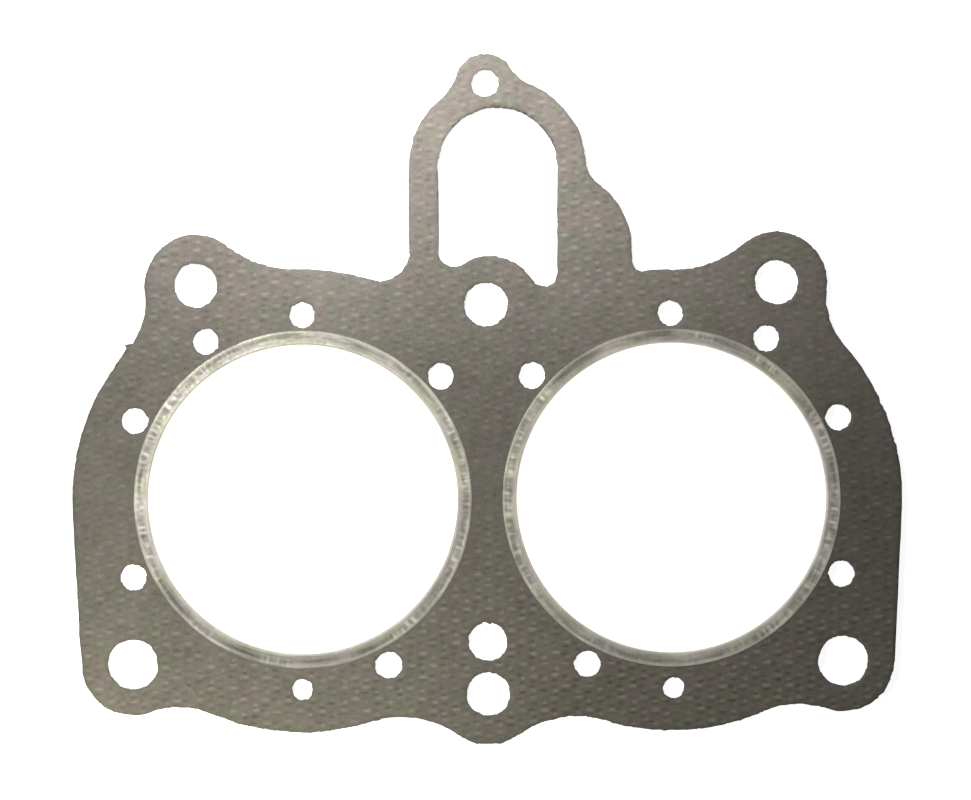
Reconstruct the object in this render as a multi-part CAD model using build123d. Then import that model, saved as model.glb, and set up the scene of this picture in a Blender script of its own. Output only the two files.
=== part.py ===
from build123d import *
import os
from math import atan2, ceil, cos, floor, hypot, pi, radians, sin, sqrt

# Composite cylinder head gasket for one pair of liquid-cooled cylinders.
# A thin tanged steel core carries a soft facing on each side, and a folded
# steel fire ring grips the edge of each bore.
#
# Frame, in millimetres: the origin is midway between the two bore axes, on
# the face that meets the cylinder block. +X runs along the pair, +Y points
# to the arch round the camshaft drive tunnel, and +Z to the cylinder head.

# Stack, from the block up
core_t = 0.2
facing_t = 0.6

# Windows pierced in the core, each left by a pair of tangs bent into the facings
window_w = 1.9
window_h = 1.3
window_margin = 0.8  # from a window to the nearest edge of the core
window_column = 2.775  # spacing along X, where every other column is half a row up
window_row = 5.62
window_shift = (0.2, 1.5)  # from the origin to one window's centre

# Fire rings
ring_bore_d = 77.2
ring_steel_t = 0.25
ring_flange_w = 3.55
ring_proud = 0.1  # flange above the facing before the gasket is clamped
ring_bend_r = 0.5  # outside of the fold round the edge of the sheets
edge_gap = 0.1  # between the fold and the edge of the sheets
flange_gap = 0.05  # round the outer edge of a flange

bore_web = 14.8  # between the two bore openings

# Six studs: two pairs at the corners and one pair between the bores
stud_hole_d = 10.9
dowel_hole_d = 12.5  # the lower corner studs pass through hollow dowels
upper_stud_land = 17.65  # ring edge to stud axis, along a radius of the bore
upper_stud_angle = 63.7
dowel_land = 16.95
dowel_angle = -43.8
centre_top_land = 24.7
centre_bottom_land = 24.9

# Hole for the small bolt at the tip of the arch
tip_hole_d = 6.65
tip_land = 6.1  # arch opening to the hole's axis

# Coolant and oil holes
oil_hole_d = 9.6
oil_hole_gap = 13.1  # up from the axis of the lower centre stud
coolant_land = 4.1  # ring edge to hole axis
coolant_holes = [  # angle about the right bore, further out, diameter
    (90.0, -0.2, 6.35),
    (58.8, 0.0, 6.4),
    (138.5, 0.0, 6.5),
    (25.4, 0.0, 6.5),
    (-24.4, 0.25, 6.5),
    (-117.1, 0.3, 6.6),
    (-89.6, 1.25, 5.2),
]

# Arch opening, with heights above the axis of the upper centre stud
arch_w = 29.7
arch_shift = 3.05  # to the right of the middle line
arch_rise = 34.25  # to the centre of its round top
boss_r = 12.05  # round the upper centre stud hole, which stands into the arch
boss_shift = 1.0
arch_corner_r = 4.0
arch_corner_rise = 13.45
pocket_r = 3.3
pocket_rise = 7.8

# Outer edge
stud_lobe_r = 12.65
tip_lobe_r = 7.4
arch_wall = 7.3
rim_land = 15.35  # ring edge to outer edge
bottom_rim_land = 15.9
top_right_rim_land = 14.8
shoulder_r = 20.1  # round swelling beside the foot of the arch
shoulder_shift = 16.4
shoulder_side = 2.95  # straight side between the shoulder and the hollow at its foot
flank_r = 18.0  # hollows in the edge
dowel_hollow_r = 22.0
centre_hollow_r = 24.5
top_hollow_r = 26.0
right_foot_r = 2.7
left_foot_r = 7.4
notch_r = 7.0
tip_hollow_r = 11.0

# Tolerances of the outlines
shortest_line = 0.001  # a straight join below this length is left out
lean_digits = 9  # so that rounds which only just touch count as touching

# Worked out from the sizes above
body_t = 2 * facing_t + core_t
press_depth = ring_steel_t - ring_proud
gripped_t = body_t - 2 * press_depth
ring_r = ring_bore_d / 2
ring_outer_r = ring_r + ring_flange_w
sheet_bore_r = ring_r + ring_bend_r + edge_gap
bore_x = (ring_bore_d + bore_web) / 2
arch_r = arch_w / 2


def height_on_middle(land):
    """Distance along the middle line to a point that lies one land away from both rings."""
    return sqrt((ring_outer_r + land) ** 2 - bore_x**2)


def from_bore(radius, angle):
    """Point at a radius and angle about the right bore's axis."""
    return bore_x + radius * cos(radians(angle)), radius * sin(radians(angle))


def mirrored(point):
    return -point[0], point[1]


upper_stud = from_bore(ring_outer_r + upper_stud_land, upper_stud_angle)
dowel = from_bore(ring_outer_r + dowel_land, dowel_angle)
centre_top_y = height_on_middle(centre_top_land)
centre_bottom_y = -height_on_middle(centre_bottom_land)
oil_hole_y = centre_bottom_y + oil_hole_gap
arch_y = centre_top_y + arch_rise
tip_hole_y = arch_y + arch_r + tip_land


def nested(first, second, radius):
    """Hollow arc that touches two round lobes, on the right of the way from first to second."""
    (x1, y1, r1), (x2, y2, r2) = first, second
    gap = hypot(x2 - x1, y2 - y1)
    ux, uy = (x2 - x1) / gap, (y2 - y1) / gap
    reach1, reach2 = r1 + radius, r2 + radius
    along = (reach1**2 - reach2**2 + gap**2) / (2 * gap)
    out = sqrt(reach1**2 - along**2)
    return x1 + along * ux + out * uy, y1 + along * uy - out * ux, -radius


def beside_line(line_x, radius, side, rim):
    """Hollow arc above a rim that also touches the upright line x = line_x, on one side of it."""
    rim_x, _, rim_r = rim
    x = line_x + side * radius
    return x, sqrt((rim_r + radius) ** 2 - (x - rim_x) ** 2), -radius


def rolling_loop(rounds):
    """Closed wire that runs anticlockwise over round lobes and through hollows.

    Each round is x, y and radius, and a hollow's radius is negative. Rounds
    that don't touch are joined by the straight line that both touch.
    """
    leave, arrive = [], []
    for (x1, y1, r1), (x2, y2, r2) in zip(rounds, rounds[1:] + rounds[:1]):
        gap = hypot(x2 - x1, y2 - y1)
        ux, uy = (x2 - x1) / gap, (y2 - y1) / gap
        lean = max(-1.0, min(1.0, round((r1 - r2) / gap, lean_digits)))
        rise = sqrt(1 - lean**2)
        nx, ny = lean * ux + rise * uy, lean * uy - rise * ux
        leave.append((x1 + r1 * nx, y1 + r1 * ny))
        arrive.append((x2 + r2 * nx, y2 + r2 * ny))
    edges = []
    for i, (x, y, r) in enumerate(rounds):
        start, end = arrive[i - 1], leave[i]
        a = atan2(start[1] - y, start[0] - x)
        b = atan2(end[1] - y, end[0] - x)
        turn = (b - a) % (2 * pi) if r > 0 else -((a - b) % (2 * pi))
        middle = x + abs(r) * cos(a + turn / 2), y + abs(r) * sin(a + turn / 2)
        edges.append(ThreePointArc(start, middle, end))
        if hypot(arrive[i][0] - end[0], arrive[i][1] - end[1]) > shortest_line:
            edges.append(Line(end, arrive[i]))
    return Wire(edges)


def outer_edge():
    """Outer edge, from the lower centre stud round the right side, the arch and the left side."""
    right_rim = bore_x, 0.0, ring_outer_r + rim_land
    right_bottom = bore_x, 0.0, ring_outer_r + bottom_rim_land
    right_top = bore_x, 0.0, ring_outer_r + top_right_rim_land
    centre_lobe = 0.0, centre_bottom_y, stud_lobe_r
    dowel_lobe = *dowel, stud_lobe_r
    upper_lobe = *upper_stud, stud_lobe_r
    right_foot = beside_line(shoulder_shift + shoulder_r, right_foot_r, 1, right_top)
    shoulder = shoulder_shift, right_foot[1] + shoulder_side, shoulder_r
    arch = arch_shift, arch_y, arch_r + arch_wall
    tip = 0.0, tip_hole_y, tip_lobe_r

    def mirror_round(round_):
        return *mirrored(round_), round_[2]

    left_rim = mirror_round(right_rim)
    flank = nested(right_rim, upper_lobe, flank_r)
    dowel_hollow = nested(right_bottom, dowel_lobe, dowel_hollow_r)
    centre_hollow = nested(centre_lobe, right_bottom, centre_hollow_r)
    return rolling_loop(
        [
            centre_lobe,
            centre_hollow,
            right_bottom,
            dowel_hollow,
            dowel_lobe,
            right_rim,
            flank,
            upper_lobe,
            nested(upper_lobe, right_top, top_hollow_r),
            right_top,
            right_foot,
            shoulder,
            nested(shoulder, arch, notch_r),
            arch,
            nested(arch, tip, tip_hollow_r),
            tip,
            nested(tip, arch, tip_hollow_r),
            arch,
            beside_line(arch_shift - arch_r - arch_wall, left_foot_r, -1, left_rim),
            left_rim,
            mirror_round(nested(upper_lobe, right_rim, top_hollow_r)),
            mirror_round(upper_lobe),
            mirror_round(flank),
            left_rim,
            mirror_round(dowel_lobe),
            mirror_round(dowel_hollow),
            mirror_round(right_bottom),
            mirror_round(centre_hollow),
        ]
    )


def arch_opening():
    """Opening for the drive tunnel, with the upper centre stud's boss standing into its foot."""
    return rolling_loop(
        [
            (boss_shift, centre_top_y, -boss_r),
            (arch_shift + arch_r - pocket_r, centre_top_y + pocket_rise, pocket_r),
            (arch_shift, arch_y, arch_r),
            (arch_shift - arch_r + arch_corner_r, centre_top_y + arch_corner_rise, arch_corner_r),
        ]
    )


def round_holes():
    """Centre and diameter of every round hole outside the bores."""
    holes = [
        (0.0, centre_top_y, stud_hole_d),
        (0.0, centre_bottom_y, stud_hole_d),
        (0.0, oil_hole_y, oil_hole_d),
        (0.0, tip_hole_y, tip_hole_d),
    ]
    pairs = [(*upper_stud, stud_hole_d), (*dowel, dowel_hole_d)]
    for angle, further_out, diameter in coolant_holes:
        radius = ring_outer_r + coolant_land + further_out
        pairs.append((*from_bore(radius, angle), diameter))
    for x, y, diameter in pairs:
        holes += [(x, y, diameter), (-x, y, diameter)]
    return holes


def sheet_face():
    """The gasket's flat shape, with its bores opened to sit in the fire rings."""
    flat = make_face(outer_edge()) - make_face(arch_opening())
    flat -= [Pos(x, y) * Circle(d / 2) for x, y, d in round_holes()]
    flat -= [Pos(x, 0) * Circle(sheet_bore_r) for x in (-bore_x, bore_x)]
    return flat.face()


def lattice(low, high, start, step):
    """Places from low to high that lie whole steps from start."""
    first = ceil((low - start) / step)
    last = floor((high - start) / step)
    return [(i, start + i * step) for i in range(first, last + 1)]


def windows(flat):
    """Outline of each pierced window that stays clear of the sheet's edges."""
    box = flat.bounding_box()
    reach_x = window_w / 2 + window_margin
    reach_y = window_h / 2 + window_margin
    corners = [(-reach_x, -reach_y), (reach_x, -reach_y), (reach_x, reach_y), (-reach_x, reach_y)]
    outlines = []
    for column, x in lattice(box.min.X, box.max.X, window_shift[0], window_column):
        first_y = window_shift[1] + column % 2 * window_row / 2
        for _, y in lattice(box.min.Y, box.max.Y, first_y, window_row):
            if all(flat.is_inside(Vector(x + dx, y + dy, 0)) for dx, dy in corners):
                outlines.append(Wire.make_rect(window_w, window_h, Plane((x, y, 0))))
    return outlines


def core(bottom_z):
    """Steel core with its pierced windows."""
    flat = sheet_face()
    pierced = Face(flat.outer_wire(), [*flat.inner_wires(), *windows(flat)])
    return Pos(0, 0, bottom_z) * extrude(pierced, core_t)


def facing(bottom_z, pressed_z):
    """Soft facing, pressed thinner from pressed_z up for each fire ring's flange."""
    flange_room = ring_outer_r + flange_gap
    shape = Pos(0, 0, bottom_z) * extrude(sheet_face(), facing_t)
    for x in (-bore_x, bore_x):
        shape -= Pos(x, 0, pressed_z) * extrude(Circle(flange_room), press_depth)
    return shape


def fire_ring(x):
    """Steel strip folded into a U round the edge of a bore, with a flange on each face."""
    depth = gripped_t + 2 * ring_steel_t
    folded = Rectangle(ring_flange_w, depth, align=(Align.MIN, Align.CENTER))
    folded = fillet(folded.vertices().sort_by(Axis.X)[:2], ring_bend_r)
    grip = Rectangle(ring_flange_w, gripped_t, align=(Align.MIN, Align.CENTER))
    grip = fillet(grip.vertices().sort_by(Axis.X)[:2], ring_bend_r - ring_steel_t)
    section = folded - Pos(ring_steel_t, 0) * grip
    upright = Plane.XZ * Pos(ring_r, body_t / 2) * section
    return Pos(x, 0, 0) * revolve(upright, Axis.Z)


pieces = {
    "block_side_facing": facing(0.0, 0.0),
    "steel_core": core(facing_t),
    "head_side_facing": facing(facing_t + core_t, body_t - press_depth),
    "left_fire_ring": fire_ring(-bore_x),
    "right_fire_ring": fire_ring(bore_x),
}

os.makedirs("parts", exist_ok=True)
for name, shape in pieces.items():
    export_step(shape, f"parts/{name}.step")
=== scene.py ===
from functools import lru_cache
from math import atan2, ceil, cos, exp, hypot, pi, radians, sin, tanh

import bmesh
import bpy
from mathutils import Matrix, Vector, noise
from mathutils.kdtree import KDTree


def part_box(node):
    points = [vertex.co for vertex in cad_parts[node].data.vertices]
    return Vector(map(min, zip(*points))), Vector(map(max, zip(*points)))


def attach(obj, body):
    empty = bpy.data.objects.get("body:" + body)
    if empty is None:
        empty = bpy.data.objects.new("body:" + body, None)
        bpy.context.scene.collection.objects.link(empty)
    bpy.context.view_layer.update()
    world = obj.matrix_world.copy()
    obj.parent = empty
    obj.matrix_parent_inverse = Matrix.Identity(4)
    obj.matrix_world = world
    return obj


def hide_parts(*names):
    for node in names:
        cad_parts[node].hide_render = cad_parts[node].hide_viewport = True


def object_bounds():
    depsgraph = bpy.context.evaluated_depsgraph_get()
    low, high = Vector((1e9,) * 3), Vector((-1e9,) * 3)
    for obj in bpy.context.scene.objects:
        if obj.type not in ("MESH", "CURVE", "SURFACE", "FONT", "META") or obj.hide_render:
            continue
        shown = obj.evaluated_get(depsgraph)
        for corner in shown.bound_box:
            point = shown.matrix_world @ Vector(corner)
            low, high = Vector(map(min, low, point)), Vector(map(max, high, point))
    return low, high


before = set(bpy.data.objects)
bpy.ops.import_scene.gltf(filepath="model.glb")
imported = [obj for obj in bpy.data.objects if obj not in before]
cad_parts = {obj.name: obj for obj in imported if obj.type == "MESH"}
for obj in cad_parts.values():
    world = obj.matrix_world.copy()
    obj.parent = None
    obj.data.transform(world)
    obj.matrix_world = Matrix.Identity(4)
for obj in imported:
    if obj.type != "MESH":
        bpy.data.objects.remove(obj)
cad_low, cad_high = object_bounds()

MM = 0.001

# Bores and rings
BORE_X = 46.0 * MM
RING_R = 38.6 * MM
RING_OUTER_R = 42.15 * MM
RING_STEEL_T = 0.25 * MM
RING_BEND_R = 0.5 * MM
FLANGE_ROOM_R = 42.2 * MM

# Windows in the core, which print through the facings
WINDOW_COLUMN = 2.775 * MM
WINDOW_ROW = 5.62 * MM
WINDOW_SHIFT = (0.2 * MM, 1.5 * MM)

# Print of one window: place from its centre, spread each way, and height
BAR = (0.05, -0.80, 1.05, 0.43, 0.072)
SPOT = (0.15, 1.05, 0.60, 0.41, 0.065)
PIT = (-0.10, 0.10, 0.80, 0.32, -0.045)
TROUGH = (-0.20, -1.90, 1.05, 0.36, -0.045)
CLEFT = (-0.60, 1.95, 0.95, 0.36, -0.04)
PRINT_LIMIT = 0.08 * MM  # no print stands higher than this
PRINT_SHIFT = 0.32  # how far a print may stray from its window, in millimetres
PRINT_PATCHES = [  # x, y and radius of a patch, and how much stronger the print is there
    (30.0, 76.0, 20.0, 0.35),
    (-62.0, 58.0, 24.0, 0.1),
    (-22.0, -52.0, 34.0, 0.55),
    (34.0, -50.0, 34.0, 0.8),
    (82.0, -48.0, 28.0, 0.9),
    (-92.0, 8.0, 30.0, -0.4),
    (86.0, 22.0, 22.0, -0.4),
    (0.0, 26.0, 24.0, -0.3),
    (0.0, 2.0, 14.0, -0.5),
    (84.0, 58.0, 22.0, -0.2),
    (2.0, 104.0, 16.0, -0.4),
]
LIGHT_SHADE_PATCHES = [  # x, y and radius of a patch of painted sheen, and how much paler it is; the darker patches are painted shade
    (-38.0, 60.0, 14.0, 0.25),
    (26.0, 70.0, 36.0, 0.16),
    (-8.0, -48.0, 32.0, 0.18),
    (70.0, -48.0, 26.0, 0.18),
    (98.0, -44.0, 12.0, 0.2),
    (0.0, 26.0, 32.0, -0.2),
    (4.0, 104.0, 16.0, -0.14),
    (-86.0, 26.0, 20.0, -0.1),
    (-72.0, -44.0, 20.0, -0.08),
    (86.0, 10.0, 28.0, -0.16),
]
ROLLED_SHADED_EDGES = [  # x, y and radius of a stretch of cut edge, and how much rounder it is and how much darker with painted shade
    (4.0, 97.8, 4.0, 2.2),
    (9.0, 96.2, 3.0, 3.0),
    (13.9, 92.3, 3.0, 2.2),
    (16.8, 88.0, 4.0, 2.2),
]
PRINT_REACH = (2.5, 3.2)  # beyond this far from a window nothing shows
WEAKEST_PRINT = 0.35
PRINT_SPREAD = 1.3  # from the weakest print to the strongest
STRAY_SALT = (10, 20)  # keep a feature's strength and its stray each way apart
CELL_SHIFT = 40.5
CELL_MIDDLE = 0.5
SALT_STEP = 17

# Divided face of a facing
STEPS_PER_COLUMN = 7
STEPS_PER_ROW = 14
PLATE_MARGIN = 1.0 * MM

# Cut edges
OUTLINE_STEP = 0.35 * MM
RAGGED = 0.15 * MM
RAGGED_SIZE = 1.3 * MM
RAGGED_SEED = 5  # keeps the ragged edges the same in every run
LONG_DRAG = 4  # longer waves of the ragged edge, in its own sizes
SHORT_DRAG = 2  # shorter ones, as a part of its size
SHORT_DRAG_SHARE = 1.6
ROLL_W = 1.1 * MM
ROLL_DEPTH = 0.15 * MM
FRAY_W = 1.0 * MM
CHIP_SIZE = 0.9 * MM
CHIP_SHARE = 0.9  # how far the chips vary the rolled edge
FACING_CREASE = radians(40)
SWELL = 0.02 * MM
SWELL_SIZE = 9.0 * MM
BURRS = [  # x, y, direction in degrees, reach and half width
    (-88.9, 38.4, 155.0, 1.6, 1.15),
    (0.5, -31.2, 270.0, 1.1, 0.6),
    (-48.1, 47.6, 135.0, 0.35, 0.8),
    (-13.1, 32.6, 315.0, 0.5, 0.8),
    (-22.0, -38.6, 40.0, 0.4, 0.7),
    (-84.4, -36.2, 60.0, 0.55, 0.9),
    (-94.1, -41.0, 0.0, 0.35, 0.9),
    (-93.2, -38.2, 200.0, 0.3, 0.6),
    (-46.9, -58.7, 260.0, 0.35, 0.5),
    (54.4, -54.3, 280.0, 0.35, 0.5),
    (4.4, 110.2, 70.0, 0.25, 0.5),
]

# Camera
VIEW_W = 242.2 * MM  # width of the view on the gasket's upper face
VIEW_CENTRE = (-0.28 * MM, 24.60 * MM)
VIEW_TURN = radians(-0.321)
CAMERA_HEIGHT = 650.0 * MM
SENSOR_W = 36.0
NEAR_CLIP = 10.0 * MM

# Studio
WORLD_LIGHT = 0.05
FLOOR_WHITE = 0.9
FLOOR_GLOW = 0.9
FLOOR_SIZE = 1.5
FLOOR_GAP = 0.02 * MM
WHITE = (1, 1, 1, 1)
LAMPS = [  # name, place, size, power, tint, and whether it is seen only as sheen
    ("upper_lamp", (-0.048, 0.172, 0.115), 0.05, 0.81, (1.0, 0.98, 0.995), False),
    ("lower_lamp", (-0.105, -0.115, 0.105), 0.05, 0.26, (1.0, 0.995, 0.84), False),
    ("sheen_lamp", (-0.105, 0.055, 0.300), 0.06, 0.36, (1.0, 1.0, 0.97), True),
]

# Tolerances
FACE_TOL = 0.00001  # how far a point may lie from the face that it belongs to
MERGE_TOL = FACE_TOL / 100
STRIP_MERGE_TOL = FACE_TOL / 10
UPRIGHT = 0.5  # a face whose normal has less than this along Z stands upright


# ---- shader expressions ----


class Finish:
    """One material's shader, built from expressions on its sockets."""

    def __init__(self, tree):
        self.tree = tree
        self.tree.nodes.clear()

    @classmethod
    def material(cls, name):
        material = bpy.data.materials.new(name)
        material.use_nodes = True
        finish = cls(material.node_tree)
        finish.owner = material
        return finish

    def node(self, kind, settings=None, inputs=None):
        """Adds a node, sets it up, then fills its sockets with numbers or links."""
        node = self.tree.nodes.new(kind)
        for key, value in (settings or {}).items():
            setattr(node, key, value)
        for key, value in (inputs or {}).items():
            if isinstance(value, Socket):
                self.tree.links.new(value.socket, node.inputs[key])
            else:
                node.inputs[key].default_value = value
        return node

    def out(self, kind, settings=None, inputs=None, output=0):
        """Adds a node and returns one of its outputs."""
        return Socket(self, self.node(kind, settings, inputs).outputs[output])

    def place(self):
        return self.out("ShaderNodeTexCoord", output="Object")

    def noise(self, where, scale, detail=2.0, roughness=0.5, distortion=0.0):
        inputs = {
            "Vector": where,
            "Scale": scale,
            "Detail": detail,
            "Roughness": roughness,
            "Distortion": distortion,
        }
        return self.out("ShaderNodeTexNoise", {"noise_dimensions": "3D"}, inputs)

    def step(self, value, low, high):
        """0 below low, 1 above high and smooth between."""
        return self.out(
            "ShaderNodeMapRange",
            {"interpolation_type": "SMOOTHSTEP"},
            {"Value": value, "From Min": low, "From Max": high},
        )

    def blend(self, factor, first, second):
        """Colour between two colours."""
        return self.out(
            "ShaderNodeMix",
            {"data_type": "RGBA"},
            {"Factor": factor, 6: first, 7: second},
            output=2,
        )

    def tint(self, colour, value):
        """Colour multiplied by a value."""
        return self.out("ShaderNodeVectorMath", {"operation": "SCALE"}, {"Vector": colour, "Scale": value})

    def attribute(self, name):
        return self.out("ShaderNodeAttribute", {"attribute_name": name}, output="Fac")

    def bump(self, height, distance, strength=1.0):
        inputs = {"Height": height, "Distance": distance, "Strength": strength}
        return self.out("ShaderNodeBump", None, inputs)

    def surface(self, shader):
        self.node("ShaderNodeOutputMaterial", None, {"Surface": shader})
        return self.owner


class Socket:
    """An output socket that adds Math nodes when it is used in an expression."""

    def __init__(self, finish, socket):
        self.finish = finish
        self.socket = socket

    def math(self, operation, first, second):
        return self.finish.out("ShaderNodeMath", {"operation": operation}, {0: first, 1: second})

    def __add__(self, other):
        return self.math("ADD", self, other)

    def __radd__(self, other):
        return self.math("ADD", other, self)

    def __sub__(self, other):
        return self.math("SUBTRACT", self, other)

    def __rsub__(self, other):
        return self.math("SUBTRACT", other, self)

    def __mul__(self, other):
        return self.math("MULTIPLY", self, other)

    def __rmul__(self, other):
        return self.math("MULTIPLY", other, self)


# Each pattern gives its scale, detail, roughness and distortion, as far as they are set
NOISE_MEAN = 0.5

FACING_GRAIN = (2200.0, 2.0, 0.6)
FACING_FIBRE = (700.0, 3.0, 0.6, 0.5)
FACING_PATCH = (150.0, 3.0, 0.55)
FACING_HUE = (170.0, 1.0)
FACING_HUE_STEP = (0.35, 0.65)
WARM_GRAPHITE = (0.171, 0.151, 0.134, 1)
OLIVE_GRAPHITE = (0.159, 0.156, 0.126, 1)
GRAIN_TONE = 0.45
FIBRE_TONE = 0.6
PATCH_TONE = 0.45
RELIEF_TONE = 4.0
EDGE_TONE = 0.12
FACING_ROUGHNESS = 0.6
FIBRE_ROUGHNESS = 0.4
RELIEF_POLISH = 0.6
FIBRE_HEIGHT = 1.5
FACING_BUMP = (0.08 * MM, 0.6)
FACING_SHINE = 0.18

CORE_GRAIN = (1500.0, 2.0)
CORE_GREY = (0.36, 0.35, 0.33)
CORE_TONE = (0.8, 0.5)
CORE_ROUGHNESS = (0.35, 0.25)
CORE_BUMP = 0.02 * MM

RING_CLOUD = (110.0, 2.0, 0.5)
RING_FINE = (1200.0, 3.0, 0.6)
RING_HUE = (90.0, 2.0)
RING_HUE_STEP = (0.38, 0.62)
WARM_TIN = (0.243, 0.228, 0.203, 1)
OLIVE_TIN = (0.236, 0.232, 0.184, 1)
CLOUD_TONE = 1.1
FINE_TONE = 0.5
# darker in the groove and dents, paler on the rim and bars: partly dirt and wear, partly painted shade and
# painted light
RING_RELIEF_TONE = 7.0
# streaks along the strip: partly marks, partly painted glints
STREAK_TONE = 0.3
# painted highlight: how much paler the strip is at its inner fold
FOLD_HIGHLIGHT_TONE = 1.4
# paler on the crimped bars, darker in the dents between: partly painted glints and painted shade on the
# crimps
BARS_TONE = 1.25
RING_ROUGHNESS = 0.47
FINE_ROUGHNESS = 0.4
RING_RELIEF_POLISH = 0.8
RING_BUMP = (0.04 * MM, 0.6)


def facing_finish():
    """Graphite and fibre facing: matt grey with fine grain, paler in patches of painted sheen and darker in
    patches of painted shade.
    """
    f = Finish.material("graphite_facing")
    where = f.place()
    grain = f.noise(where, *FACING_GRAIN)
    fibre = f.noise(where, *FACING_FIBRE)
    patch = f.noise(where, *FACING_PATCH)
    hue = f.noise(where, *FACING_HUE)
    relief = f.attribute("relief")
    edge = f.attribute("edge")
    painted_light_shade = f.attribute("painted_light_shade")
    tone = (
        1.0
        # painted sheen and painted shade in broad patches
        + painted_light_shade
        + GRAIN_TONE * (grain - NOISE_MEAN)
        + FIBRE_TONE * (fibre - NOISE_MEAN)
        + PATCH_TONE * (patch - NOISE_MEAN)
        + RELIEF_TONE * relief
        # darker along the rolled cut edges; the extra darkening along the listed stretches is painted shade
        - EDGE_TONE * edge
    )
    base = f.blend(f.step(hue, *FACING_HUE_STEP), WARM_GRAPHITE, OLIVE_GRAPHITE)
    inputs = {
        "Base Color": f.tint(base, tone),
        "Roughness": FACING_ROUGHNESS + FIBRE_ROUGHNESS * (fibre - NOISE_MEAN) - RELIEF_POLISH * relief,
        "Normal": f.bump(grain + FIBRE_HEIGHT * fibre, *FACING_BUMP),
        "Specular IOR Level": FACING_SHINE,
    }
    return f.surface(f.out("ShaderNodeBsdfPrincipled", None, inputs))


def core_finish():
    """Bright sheet steel, seen at the cut edges."""
    f = Finish.material("core_steel")
    grain = f.noise(f.place(), *CORE_GRAIN)
    inputs = {
        "Base Color": f.tint(CORE_GREY, CORE_TONE[0] + CORE_TONE[1] * grain),
        "Roughness": CORE_ROUGHNESS[0] + CORE_ROUGHNESS[1] * grain,
        "Metallic": 1.0,
        "Normal": f.bump(grain, CORE_BUMP),
    }
    return f.surface(f.out("ShaderNodeBsdfPrincipled", None, inputs))


def ring_finish():
    """Tinned steel strip: satin, with stains and fine marks along the strip, partly painted glints; its
    tone also holds painted shade and light on the crimped face and a painted highlight at the inner fold.
    """
    f = Finish.material("ring_steel")
    where = f.place()
    cloud = f.noise(where, *RING_CLOUD)
    fine = f.noise(where, *RING_FINE)
    hue = f.noise(where, *RING_HUE)
    relief = f.attribute("relief")
    streak = f.attribute("streak")
    fold_highlight = f.attribute("fold")
    bars = f.attribute("bars")
    tone = (
        1.0
        + CLOUD_TONE * (cloud - NOISE_MEAN)
        + FINE_TONE * (fine - NOISE_MEAN)
        # darker in the groove and dents, paler on the rim and bars: partly dirt and wear, partly painted
        # shade and painted light
        + RING_RELIEF_TONE * relief
        # streaks along the strip: partly marks, partly painted glints
        + STREAK_TONE * streak
        # painted highlight at the inner fold by the bore
        + FOLD_HIGHLIGHT_TONE * fold_highlight
        # paler on the crimped bars, darker in the dents between: partly painted glints and painted shade on
        # the crimps
        + BARS_TONE * bars
    )
    base = f.blend(f.step(hue, *RING_HUE_STEP), WARM_TIN, OLIVE_TIN)
    inputs = {
        "Base Color": f.tint(base, tone),
        "Roughness": RING_ROUGHNESS + FINE_ROUGHNESS * (fine - NOISE_MEAN) - RING_RELIEF_POLISH * relief,
        "Metallic": 1.0,
        "Normal": f.bump(fine + cloud, *RING_BUMP),
    }
    return f.surface(f.out("ShaderNodeBsdfPrincipled", None, inputs))


# ---- facings ----


def new_object(name, mesh):
    piece = bpy.data.objects.new(name, mesh)
    bpy.context.scene.collection.objects.link(piece)
    return piece


def mesh_from(bm, name):
    mesh = bpy.data.meshes.new(name)
    bm.to_mesh(mesh)
    bm.free()
    return mesh


def divide_long_edges(bm, edges, step):
    """Cuts each of the edges into pieces no longer than a step."""
    by_cuts = {}
    for edge in edges:
        cuts = ceil(edge.calc_length() / step) - 1
        if cuts > 0:
            by_cuts.setdefault(cuts, []).append(edge)
    for cuts, alike in sorted(by_cuts.items()):
        bmesh.ops.subdivide_edges(bm, edges=alike, cuts=cuts)


def from_bore(point):
    """Distance from the nearer bore's axis."""
    return hypot(abs(point.x) - BORE_X, point.y)


def fray(point):
    """How far the punch dragged the cut edge at a point."""
    flat = Vector((point.x, point.y, 0))
    drag = noise.noise_vector(flat / RAGGED_SIZE) * RAGGED
    drag += noise.noise_vector(flat / (RAGGED_SIZE * LONG_DRAG)) * RAGGED
    drag += noise.noise_vector(flat / (RAGGED_SIZE / SHORT_DRAG)) * RAGGED * SHORT_DRAG_SHARE
    for x, y, direction, reach, half_w in BURRS:
        away = hypot(point.x - x * MM, point.y - y * MM) / (half_w * MM)
        turn = radians(direction)
        drag += Vector((cos(turn), sin(turn), 0)) * reach * MM * max(0.0, 1 - away)
    drag.z = 0
    clear = (from_bore(point) - FLANGE_ROOM_R) / FRAY_W
    return drag * min(1.0, max(0.0, clear))


def cad_copy(node):
    """Merged copy of a CAD node, with its cut edges finely divided."""
    bm = bmesh.new()
    bm.from_mesh(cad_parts[node].data)
    bmesh.ops.remove_doubles(bm, verts=bm.verts, dist=MERGE_TOL)
    cut_edges = [e for e in bm.edges if is_cut_edge(e)]
    divide_long_edges(bm, cut_edges, OUTLINE_STEP)
    return bm


def is_cut_edge(edge):
    """Whether a flat face meets an upright one here."""
    upright = [abs(f.normal.z) < UPRIGHT for f in edge.link_faces]
    return any(upright) and not all(upright)


def cut_edge_tree(verts):
    """Search tree of the points on the cut edges."""
    rim = [v for v in verts if any(is_cut_edge(e) for e in v.link_edges)]
    tree = KDTree(len(rim))
    for i, v in enumerate(rim):
        tree.insert((v.co.x, v.co.y, 0), i)
    tree.balance()
    return tree


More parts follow.
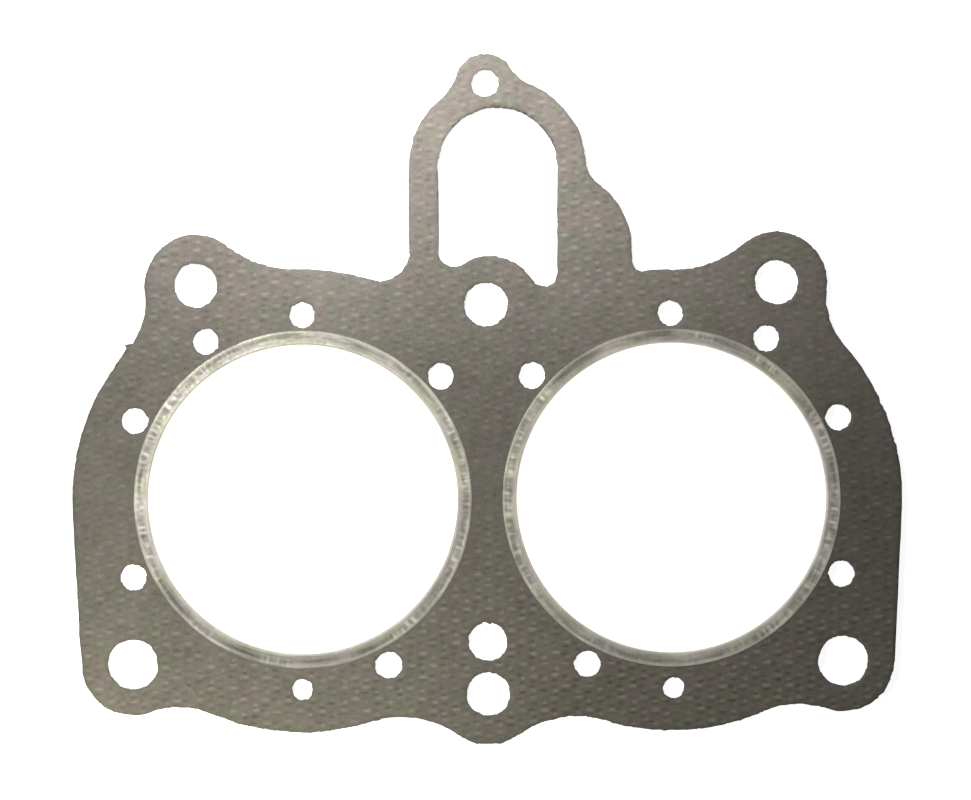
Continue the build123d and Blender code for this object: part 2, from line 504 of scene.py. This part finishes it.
def divided_plate(low, high, outer_z, inner_z):
    """Plate whose outer face is divided in step with the windows."""
    step_x = WINDOW_COLUMN / STEPS_PER_COLUMN
    step_y = WINDOW_ROW / STEPS_PER_ROW
    across = 2 * ceil((max(-low.x, high.x) + PLATE_MARGIN) / step_x)
    along = 2 * ceil(((high.y - low.y) / 2 + PLATE_MARGIN) / step_y)
    middle_y = round((high.y + low.y) / 2 / step_y) * step_y
    bm = bmesh.new()
    bmesh.ops.create_grid(bm, x_segments=across, y_segments=along, size=0.5)
    bmesh.ops.scale(bm, vec=(across * step_x, along * step_y, 1), verts=bm.verts)
    bmesh.ops.translate(bm, vec=(WINDOW_SHIFT[0], WINDOW_SHIFT[1] + middle_y, outer_z), verts=bm.verts)
    rim = [e for e in bm.edges if e.is_boundary]
    grown = bmesh.ops.extrude_edge_only(bm, edges=rim)
    lower = [v for v in grown["geom"] if isinstance(v, bmesh.types.BMVert)]
    bmesh.ops.translate(bm, vec=(0, 0, inner_z - outer_z), verts=lower)
    bmesh.ops.holes_fill(bm, edges=[e for e in bm.edges if e.is_boundary], sides=0)
    bmesh.ops.recalc_face_normals(bm, faces=bm.faces)
    return bm


def forget_normals(mesh):
    """Drops the normals that a CAD node's mesh was loaded with."""
    if "custom_normal" in mesh.attributes:
        mesh.attributes.remove(mesh.attributes["custom_normal"])


def carve(blank, pattern):
    """Mesh of the part of a blank that lies inside a pattern."""
    piece = new_object("blank", mesh_from(blank, "blank"))
    tool = new_object("pattern", mesh_from(pattern, "pattern"))
    cut = piece.modifiers.new("cut", "BOOLEAN")
    cut.solver = "MANIFOLD"
    cut.operation = "INTERSECT"
    cut.object = tool
    evaluated = piece.evaluated_get(bpy.context.evaluated_depsgraph_get())
    mesh = bpy.data.meshes.new_from_object(evaluated)
    for thing in (piece, tool):
        bpy.data.objects.remove(thing)
    forget_normals(mesh)
    return mesh


def mound(x, y, feature):
    """Height of one flat-topped feature of the print, in millimetres."""
    dx, dy, half_w, half_h, height = feature
    away = ((x - dx) / half_w) ** 2 + ((y - dy) / half_h) ** 2
    return height * exp(-away * away)


@lru_cache(maxsize=None)
def window_seed(i, j, salt):
    """Evenly spread number from 0 to 1 for one window."""
    cell = Vector((i + CELL_SHIFT, j + CELL_SHIFT, salt * SALT_STEP + CELL_MIDDLE))
    return (1 + noise.cell(cell)) / 2


def patchy(point, patches):
    """Value at a point that is 1 away from every patch."""
    value = 1.0
    for x, y, radius, more in patches:
        away = hypot(point.x / MM - x, point.y / MM - y) / radius
        value += more * exp(-away * away)
    return value


def print_height(point):
    """Relief that the windows near a point press through the facing, in metres."""
    x = (point.x - WINDOW_SHIFT[0]) / WINDOW_COLUMN
    y = (point.y - WINDOW_SHIFT[1]) / WINDOW_ROW
    total = 0.0
    for i in range(round(x) - 1, round(x) + 2):
        half = 0.5 if i % 2 else 0.0
        for j in range(round(y - half) - 1, round(y - half) + 2):
            away_x = (x - i) * WINDOW_COLUMN / MM
            away_y = (y - half - j) * WINDOW_ROW / MM
            if abs(away_x) > PRINT_REACH[0] or abs(away_y) > PRINT_REACH[1]:
                continue
            for salt, feature in enumerate((BAR, SPOT, PIT, TROUGH, CLEFT)):
                strength = WEAKEST_PRINT + PRINT_SPREAD * window_seed(i, j, salt)
                stray_x = PRINT_SHIFT * (2 * window_seed(i, j, salt + STRAY_SALT[0]) - 1)
                stray_y = PRINT_SHIFT * (2 * window_seed(i, j, salt + STRAY_SALT[1]) - 1)
                total += strength * mound(away_x - stray_x, away_y - stray_y, feature)
    return total * patchy(point, PRINT_PATCHES) * MM


def press_relief(mesh, outer_z, up):
    """Frays the cut edges, and raises the print on the outer face and records it."""
    bm = bmesh.new()
    bm.from_mesh(mesh)
    relief = bm.verts.layers.float.new("relief")
    edge = bm.verts.layers.float.new("edge")
    painted_light_shade = bm.verts.layers.float.new("painted_light_shade")
    outer = {v for v in bm.verts if abs(v.co.z - outer_z) < FACE_TOL}
    tree = cut_edge_tree(outer)
    for v in bm.verts:
        distance = tree.find((v.co.x, v.co.y, 0))[2]
        near = max(0.0, 1 - distance / ROLL_W)
        rise = 0.0
        if v in outer:
            rolled = near * near * min(1.0, max(0.0, (from_bore(v.co) - FLANGE_ROOM_R) / ROLL_W))
            swell = noise.noise(Vector((v.co.x, v.co.y, 0)) / SWELL_SIZE) * SWELL
            pressed = print_height(v.co) * (1 - near)
            v[relief] = pressed / MM
            chipped = 1 + CHIP_SHARE * noise.noise(v.co / CHIP_SIZE)
            # along the listed stretches the edge is rolled further and its extra darkening is painted shade
            rolled *= chipped * patchy(v.co, ROLLED_SHADED_EDGES)
            v[edge] = rolled
            # painted sheen and painted shade: broad paler and darker patches on the outer face
            v[painted_light_shade] = patchy(v.co, LIGHT_SHADE_PATCHES) - 1
            standing = PRINT_LIMIT * tanh(pressed / PRINT_LIMIT)
            rise = up * (standing + swell - ROLL_DEPTH * rolled)
        if near > 0:
            v.co += fray(v.co) * near
        v.co.z += rise
    keep_inside(bm)
    bm.to_mesh(mesh)
    bm.free()


def keep_inside(bm):
    """Brings anything that strays out of the part's box back to its side."""
    for v in bm.verts:
        for axis in range(3):
            v.co[axis] = min(max(v.co[axis], cad_low[axis]), cad_high[axis])


def facing(node, up):
    """One facing, whose outer face looks up or down."""
    low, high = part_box(node)
    outer_z, inner_z = (high.z, low.z) if up > 0 else (low.z, high.z)
    plate = divided_plate(low, high, outer_z, inner_z - up * PLATE_MARGIN)
    mesh = carve(plate, cad_copy(node))
    press_relief(mesh, outer_z, up)
    mesh.shade_smooth()
    mesh.set_sharp_from_angle(angle=FACING_CREASE)
    piece = new_object(node + "_sheet", mesh)
    mesh.materials.clear()
    mesh.materials.append(FACING)
    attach(piece, "root")
    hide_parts(node)


# ---- rings ----

RING_TURNS = 1080
FLANGE_CUTS = 20
FOLD_CUTS = 6
RIM_R = 41.7 * MM
RIM_W = 0.2 * MM
RIM_HEIGHT = 0.03 * MM
GROOVE_R = 40.85 * MM
GROOVE_W = 0.45 * MM
GROOVE_DEPTH = 0.055 * MM
GROOVE_WANDER = 0.3 * MM
BAR_R = 40.75 * MM  # middle of the crimped bars across the strip
BAR_W = 0.95 * MM
BAR_SIZE = 0.85 * MM
BAR_HEIGHT = 0.04 * MM
DENT_SHARE = 0.3  # depth of the dents between the bars, beside the bars' height
CLUSTER_SIZE = 13.0 * MM
LEAN_SIZE = 3.0 * MM
WAVE_SIZE = 9.0 * MM
STREAK_LENGTH = 5.0 * MM
STREAK_W = 0.7 * MM
DIMPLE_SIZE = 1.3 * MM
DIMPLE_DEPTH = 0.02 * MM
# how far the painted highlight at the inner fold reaches outwards
FOLD_HIGHLIGHT_W = 0.35 * MM
WALL_CUTS = 2
INNER_FOLD_CUTS = 2
RING_CREASE = radians(50)
SIDE_LAYER = 7  # keep the patterns of the two rings and of their two faces apart
FACE_LAYER = 3
BAR_FLATNESS = 4  # how square the bars' ends are
CLUSTER_SIDES = 1.3  # more bars to the left and right of a bore
CLUSTER_BARE = 0.35
CLUSTER_VARIES = 1.3
GROOVE_MEAN = 0.75
GROOVE_VARIES = 0.9
GROOVE_FILLED = 0.75  # how much shallower the groove is among the bars
RIM_MEAN = 0.8
RIM_VARIES = 0.4


def fold(bm, tip, centre, angle, steps):
    """Carries the end of a section round a bend and returns the new end."""
    made = bmesh.ops.spin(
        bm, geom=[tip], cent=centre, axis=(0, 1, 0), angle=angle, steps=steps, dvec=(0, 0, 0)
    )
    return next(v for v in made["geom_last"] if isinstance(v, bmesh.types.BMVert))


def run(bm, tip, step, steps):
    """Carries the end of a section straight on and returns the new end."""
    for _ in range(steps):
        made = bmesh.ops.extrude_vert_indiv(bm, verts=[tip])
        tip = made["verts"][0]
        tip.co += Vector(step)
    return tip


def strip_section(top_z, bottom_z):
    """Closed outline of the folded strip in the plane y = 0."""
    bm = bmesh.new()
    bend_x = RING_R + RING_BEND_R
    flange = RING_OUTER_R - bend_x
    wall = top_z - bottom_z - 2 * RING_BEND_R
    inside_r = RING_BEND_R - RING_STEEL_T
    top_bend = (bend_x, 0, top_z - RING_BEND_R)
    low_bend = (bend_x, 0, bottom_z + RING_BEND_R)
    tip = bm.verts.new((RING_OUTER_R, 0, top_z))
    tip = run(bm, tip, (-flange / FLANGE_CUTS, 0, 0), FLANGE_CUTS)
    tip = fold(bm, tip, top_bend, -pi / 2, FOLD_CUTS)
    tip = run(bm, tip, (0, 0, -wall / WALL_CUTS), WALL_CUTS)
    tip = fold(bm, tip, low_bend, -pi / 2, FOLD_CUTS)
    tip = run(bm, tip, (flange / FLANGE_CUTS, 0, 0), FLANGE_CUTS)
    tip = run(bm, tip, (0, 0, RING_STEEL_T), 1)
    tip = run(bm, tip, (-flange, 0, 0), 1)
    tip = fold(bm, tip, low_bend, pi / 2, INNER_FOLD_CUTS)
    tip = run(bm, tip, (0, 0, wall), 1)
    tip = fold(bm, tip, top_bend, pi / 2, INNER_FOLD_CUTS)
    tip = run(bm, tip, (flange, 0, 0), 1)
    run(bm, tip, (0, 0, RING_STEEL_T), 1)
    bmesh.ops.remove_doubles(bm, verts=bm.verts, dist=STRIP_MERGE_TOL)
    return bm


def fire_ring(node, side):
    """One ring, folded round its bore and crimped on both faces."""
    low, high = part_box(node)
    bm = strip_section(high.z, low.z)
    bmesh.ops.spin(
        bm,
        geom=bm.verts[:] + bm.edges[:],
        cent=(0, 0, 0),
        axis=(0, 0, 1),
        angle=2 * pi,
        steps=RING_TURNS,
        use_merge=True,
    )
    bmesh.ops.remove_doubles(bm, verts=bm.verts, dist=STRIP_MERGE_TOL)
    bmesh.ops.recalc_face_normals(bm, faces=bm.faces)
    relief = bm.verts.layers.float.new("relief")
    streak = bm.verts.layers.float.new("streak")
    fold_highlight = bm.verts.layers.float.new("fold")
    bars = bm.verts.layers.float.new("bars")
    middle = (low.z + high.z) / 2
    for v in bm.verts:
        r = hypot(v.co.x, v.co.y)
        angle = atan2(v.co.y, v.co.x)
        up = 1 if v.co.z > middle else -1
        # painted highlight: full on the inner wall, fading outwards across the flanges
        v[fold_highlight] = exp(-(r - RING_R) / FOLD_HIGHLIGHT_W)
        if abs(v.co.z - (high.z if up > 0 else low.z)) > FACE_TOL:
            continue
        along = Vector((cos(angle), sin(angle), 0)) * GROOVE_R
        layer = Vector((0, 0, side * SIDE_LAYER + up * FACE_LAYER))
        wave = noise.noise(along / WAVE_SIZE + layer)
        cluster = CLUSTER_SIDES * abs(cos(angle)) - CLUSTER_BARE
        cluster += CLUSTER_VARIES * noise.noise(along / CLUSTER_SIZE - layer)
        cluster = min(1.0, max(0.0, cluster))
        lean = Vector((0, 0, (r - GROOVE_R) / LEAN_SIZE))
        bar = noise.noise(along / BAR_SIZE + layer + lean)
        bar = cluster * (bar if bar > 0 else bar * DENT_SHARE)
        bar *= exp(-(((r - BAR_R) / BAR_W) ** BAR_FLATNESS))
        groove = exp(-(((r - GROOVE_R - GROOVE_WANDER * wave) / GROOVE_W) ** 2) / 2)
        rim = exp(-(((r - RIM_R) / RIM_W) ** 2) / 2)
        # streaks along the strip: partly marks, partly painted glints
        marks_and_glints = noise.noise(along / STREAK_LENGTH + layer + Vector((0, 0, r / STREAK_W)))
        dimple = max(0.0, noise.noise(Vector((v.co.x, v.co.y, up * MM)) / DIMPLE_SIZE))
        depth = GROOVE_DEPTH * groove * (GROOVE_MEAN + GROOVE_VARIES * wave) * (1 - GROOVE_FILLED * cluster)
        depth += DIMPLE_DEPTH * dimple
        rise = BAR_HEIGHT * bar + RIM_HEIGHT * rim * (RIM_MEAN + RIM_VARIES * wave) - depth
        v[relief] = rise / MM
        v[streak] = marks_and_glints
        v[bars] = bar
        v.co.z += up * (rise - RIM_HEIGHT)
    bmesh.ops.translate(bm, vec=(side * BORE_X, 0, 0), verts=bm.verts)
    keep_inside(bm)
    mesh = mesh_from(bm, node + "_strip")
    mesh.shade_smooth()
    mesh.set_sharp_from_angle(angle=RING_CREASE)
    mesh.materials.append(RING)
    piece = new_object(node + "_strip", mesh)
    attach(piece, "root")
    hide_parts(node)


# ---- core ----

TRIANGLE_SIDES = 3


def core_sheet():
    """The pierced core, whose cut edges are dragged with the facings' edges."""
    bm = cad_copy("steel_core")
    many_sided = [f for f in bm.faces if len(f.verts) > TRIANGLE_SIDES]
    bmesh.ops.poke(bm, faces=many_sided)
    for v in bm.verts:
        v.co += fray(v.co)
    keep_inside(bm)
    mesh = mesh_from(bm, "steel_core_sheet")
    forget_normals(mesh)
    mesh.materials.clear()
    mesh.materials.append(CORE)
    piece = new_object("steel_core_sheet", mesh)
    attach(piece, "root")
    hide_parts("steel_core")


# ---- studio ----


def floor_finish():
    """Pale floor that keeps the shadow and reads as white to the eye and to steel."""
    f = Finish.material("white_floor")
    seen = f.out("ShaderNodeLightPath", output="Is Camera Ray")
    shiny = f.out("ShaderNodeLightPath", output="Is Glossy Ray")
    clear = f.out("ShaderNodeLightPath", output="Is Transmission Ray")
    matt = f.out("ShaderNodeBsdfDiffuse", None, {"Color": (FLOOR_WHITE, FLOOR_WHITE, FLOOR_WHITE, 1)})
    strength = FLOOR_GLOW * (seen + shiny + clear)
    glow = f.out("ShaderNodeEmission", None, {"Color": WHITE, "Strength": strength})
    both = f.out("ShaderNodeAddShader", None, {0: matt, 1: glow})
    return f.surface(both)


def studio():
    """Floor, surroundings and lamps."""
    bm = bmesh.new()
    bmesh.ops.create_grid(bm, x_segments=1, y_segments=1, size=FLOOR_SIZE)
    bmesh.ops.translate(bm, vec=(0, 0, cad_low.z - FLOOR_GAP), verts=bm.verts)
    floor = new_object("floor", mesh_from(bm, "floor"))
    floor.data.materials.append(floor_finish())

    world = bpy.data.worlds.new("studio")
    bpy.context.scene.world = world
    world.use_nodes = True
    f = Finish(world.node_tree)
    path = f.node("ShaderNodeLightPath")
    seen = Socket(f, path.outputs["Is Camera Ray"]) + Socket(f, path.outputs["Is Glossy Ray"])
    seen = seen + Socket(f, path.outputs["Is Transmission Ray"])
    strength = WORLD_LIGHT + (1 - WORLD_LIGHT) * seen
    back = f.out("ShaderNodeBackground", None, {"Color": WHITE, "Strength": strength})
    f.node("ShaderNodeOutputWorld", None, {"Surface": back})

    for name, place, size, power, tint, glossy in LAMPS:
        lamp = bpy.data.lights.new(name, "AREA")
        lamp.shape = "SQUARE"
        lamp.size = size
        lamp.energy = power
        lamp.color = tint
        thing = bpy.data.objects.new(name, lamp)
        thing.location = place
        thing.visible_camera = False
        thing.visible_glossy = glossy
        thing.visible_diffuse = not glossy
        bpy.context.scene.collection.objects.link(thing)


def camera():
    """Camera straight above the gasket."""
    eye = bpy.data.cameras.new("camera")
    eye.sensor_width = SENSOR_W
    eye.lens = SENSOR_W * CAMERA_HEIGHT / VIEW_W
    eye.clip_start = NEAR_CLIP
    thing = bpy.data.objects.new("camera", eye)
    thing.location = (*VIEW_CENTRE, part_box("head_side_facing")[1].z + CAMERA_HEIGHT)
    thing.rotation_euler = (0, 0, VIEW_TURN)
    bpy.context.scene.collection.objects.link(thing)
    bpy.context.scene.camera = thing


noise.seed_set(RAGGED_SEED)

FACING = facing_finish()
CORE = core_finish()
RING = ring_finish()

camera()
facing("head_side_facing", 1)
facing("block_side_facing", -1)
core_sheet()
fire_ring("left_fire_ring", -1)
fire_ring("right_fire_ring", 1)
studio()
bpy.context.scene.view_settings.view_transform = "Standard"
